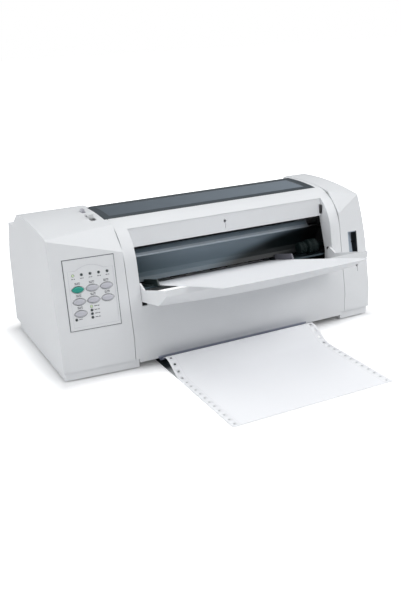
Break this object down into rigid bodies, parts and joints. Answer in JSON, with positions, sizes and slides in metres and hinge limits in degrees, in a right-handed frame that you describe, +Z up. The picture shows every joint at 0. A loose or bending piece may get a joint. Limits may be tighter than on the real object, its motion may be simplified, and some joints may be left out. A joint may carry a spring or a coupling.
{
  "type": "dot matrix printer",
  "caption": "Wide desk printer with a smoked top window, an open front sheet flap, an operator panel and fan-fold paper fed in under the front.",
  "frame": {"origin": "centre of the machine's footprint (half width, half depth of the body) on the plane its feet stand on", "axes": "+X to the machine's right seen from the front, -Y out of the front, +Z up"},
  "size_m": [0.496, 0.4455, 0.202],
  "materials": {
    "casing": "fine matt grain",
    "front_casing": "fine matt grain",
    "base_grey": "fine matt grain",
    "smoke": "smoked, satin gloss",
    "guide_plastic": "satin moulded",
    "black_plastic": "moulded",
    "dark_plastic": "moulded",
    "gear_plastic": "moulded nylon",
    "key_grey": "moulded",
    "key_green": "moulded",
    "lamp_dark": "clear lens, unlit",
    "lamp_lit": "clear lens, lit",
    "steel": "ground",
    "sheet_steel": "zinc-plated sheet",
    "roller_rubber": "matt",
    "belt_rubber": "matt",
    "foot_rubber": "matt",
    "sheet_paper": "matt",
    "form_paper": "matt",
    "circuit": "solder-resist green",
    "head_metal": "cast fins",
    "white_plastic": "moulded",
    "switch_grey": "moulded"
  },
  "bodies": {
    "case": {"base_pan": "base_grey", "rubber_feet": "foot_rubber", "left_housing": "casing", "right_housing": "casing", "front_cover": "casing", "rear_cover": "casing", "side_frames": "sheet_steel", "guide_rail": "sheet_steel", "carriage_shaft": "steel", "paper_guide": "guide_plastic", "sheet_table": "guide_plastic", "bearing_bushes": "gear_plastic", "form_ramp": "guide_plastic", "tractor_bar": "steel", "tractor_bodies": "black_plastic", "feed_motor": "dark_plastic", "carriage_motor": "dark_plastic", "logic_board": "circuit", "power_supply": "sheet_steel", "power_inlet": "black_plastic", "data_ports": "steel", "panel_bezel": "front_casing", "panel_board": "circuit", "status_lights": "lamp_dark", "lit_lights": "lamp_lit", "switch_bezel": "switch_grey", "drive_belt": "belt_rubber", "cover_screws": "steel", "continuous_form": "form_paper"},
    "window": {"access_window": "smoke"},
    "flap": {"sheet_flap": "front_casing", "cut_sheet": "sheet_paper"},
    "guide_left": {"left_sheet_guide": "dark_plastic"},
    "guide_right": {"right_sheet_guide": "dark_plastic"},
    "lever_thickness": {"thickness_lever": "white_plastic"},
    "lever_path": {"path_lever": "key_grey"},
    "rocker": {"power_rocker": "black_plastic"},
    "carriage": {"carriage_block": "dark_plastic", "print_head": "head_metal", "ribbon_cartridge": "black_plastic", "ink_ribbon": "belt_rubber"},
    "platen": {"platen_roller": "roller_rubber", "platen_shaft": "steel", "platen_gear": "gear_plastic"},
    "pinion": {"feed_pinion": "gear_plastic"},
    "idler": {"idler_gear": "gear_plastic"},
    "tractor": {"tractor_shaft": "steel", "tractor_sprockets": "dark_plastic", "tractor_gear": "gear_plastic"},
    "pulley_drive": {"belt_pulley": "gear_plastic"},
    "pulley_idle": {"belt_idler": "gear_plastic"},
    "nip": {"pressure_rollers": "roller_rubber"},
    "grip": {"grip_rollers": "black_plastic"},
    "button_start": {"key_start": "key_green"},
    "button_a": {"key_a": "key_grey"},
    "button_b": {"key_b": "key_grey"},
    "button_c": {"key_c": "key_grey"},
    "button_d": {"key_d": "key_grey"},
    "button_e": {"key_e": "key_grey"},
    "button_f": {"key_f": "key_grey"}
  },
  "joints": [
    {"name": "window_hinge", "type": "hinge", "parent": "case", "child": "window", "pos_m": [0, 0.0335, 0.184], "axis": [-1, 0, 0], "range_deg": [0, 75]},
    {"name": "flap_hinge", "type": "hinge", "parent": "case", "child": "flap", "pos_m": [0, -0.103, 0.095], "axis": [-1, 0, 0], "range_deg": [0, 82]},
    {"name": "left_guide_slide", "type": "slide", "parent": "case", "child": "guide_left", "axis": [-1, 0, 0], "range_m": [0, 0.018]},
    {"name": "right_guide_slide", "type": "slide", "parent": "case", "child": "guide_right", "axis": [1, 0, 0], "range_m": [0, 0.012]},
    {"name": "thickness_pivot", "type": "hinge", "parent": "case", "child": "lever_thickness", "pos_m": [-0.163, -0.029, 0.158], "axis": [1, 0, 0], "range_deg": [-12, 12]},
    {"name": "path_pivot", "type": "hinge", "parent": "case", "child": "lever_path", "pos_m": [-0.163, 0.003, 0.158], "axis": [1, 0, 0], "range_deg": [-5, 5]},
    {"name": "rocker_pivot", "type": "hinge", "parent": "case", "child": "rocker", "pos_m": [0.227, -0.09704, 0.11631], "axis": [1, 0, 0], "range_deg": [0, 12]},
    {"name": "press_start", "type": "slide", "parent": "case", "child": "button_start", "axis": [0.0783, 0.9792, -0.1874], "range_m": [0, 0.0008], "stiffness_N_per_m": 700, "springref_m": -0.0004},
    {"name": "press_a", "type": "slide", "parent": "case", "child": "button_a", "axis": [0.0783, 0.9792, -0.1874], "range_m": [0, 0.0008], "stiffness_N_per_m": 700, "springref_m": -0.0004},
    {"name": "press_b", "type": "slide", "parent": "case", "child": "button_b", "axis": [0.0783, 0.9792, -0.1874], "range_m": [0, 0.0008], "stiffness_N_per_m": 700, "springref_m": -0.0004},
    {"name": "press_c", "type": "slide", "parent": "case", "child": "button_c", "axis": [0.0783, 0.9792, -0.1874], "range_m": [0, 0.0008], "stiffness_N_per_m": 700, "springref_m": -0.0004},
    {"name": "press_d", "type": "slide", "parent": "case", "child": "button_d", "axis": [0.0783, 0.9792, -0.1874], "range_m": [0, 0.0008], "stiffness_N_per_m": 700, "springref_m": -0.0004},
    {"name": "press_e", "type": "slide", "parent": "case", "child": "button_e", "axis": [0.0783, 0.9792, -0.1874], "range_m": [0, 0.0008], "stiffness_N_per_m": 700, "springref_m": -0.0004},
    {"name": "press_f", "type": "slide", "parent": "case", "child": "button_f", "axis": [0.0783, 0.9792, -0.1874], "range_m": [0, 0.0008], "stiffness_N_per_m": 700, "springref_m": -0.0004},
    {"name": "carriage_slide", "type": "slide", "parent": "case", "child": "carriage", "axis": [1, 0, 0], "range_m": [0, 0.2]},
    {"name": "platen_spin", "type": "hinge", "parent": "case", "child": "platen", "pos_m": [0, 0.024, 0.104], "axis": [1, 0, 0], "continuous": true},
    {"name": "pinion_spin", "type": "hinge", "parent": "case", "child": "pinion", "pos_m": [0, 0.04735, 0.08765], "axis": [1, 0, 0], "continuous": true},
    {"name": "idler_spin", "type": "hinge", "parent": "case", "child": "idler", "pos_m": [0, -0.01573, 0.08287], "axis": [1, 0, 0], "continuous": true},
    {"name": "tractor_spin", "type": "hinge", "parent": "case", "child": "tractor", "pos_m": [0, -0.05282, 0.06316], "axis": [1, 0, 0], "continuous": true},
    {"name": "nip_spin", "type": "hinge", "parent": "case", "child": "nip", "pos_m": [0, 0.01294, 0.07795], "axis": [1, 0, 0], "continuous": true},
    {"name": "grip_spin", "type": "hinge", "parent": "case", "child": "grip", "pos_m": [0, -0.077, 0.114], "axis": [1, 0, 0], "continuous": true},
    {"name": "drive_pulley_spin", "type": "hinge", "parent": "case", "child": "pulley_drive", "pos_m": [0.17, -0.0415, 0.136], "axis": [0, 1, 0], "continuous": true},
    {"name": "idle_pulley_spin", "type": "hinge", "parent": "case", "child": "pulley_idle", "pos_m": [-0.1215, -0.0415, 0.136], "axis": [0, 1, 0], "continuous": true}
  ],
  "couplings": [
    {"joint": "pinion_spin", "follows": "platen_spin", "ratio": -2.1667},
    {"joint": "idler_spin", "follows": "platen_spin", "ratio": -0.76471},
    {"joint": "tractor_spin", "follows": "platen_spin", "ratio": 1.1818},
    {"joint": "nip_spin", "follows": "platen_spin", "ratio": -2.5},
    {"joint": "drive_pulley_spin", "follows": "carriage_slide", "rad_per_m": -116.28},
    {"joint": "idle_pulley_spin", "follows": "carriage_slide", "rad_per_m": -116.28}
  ]
}
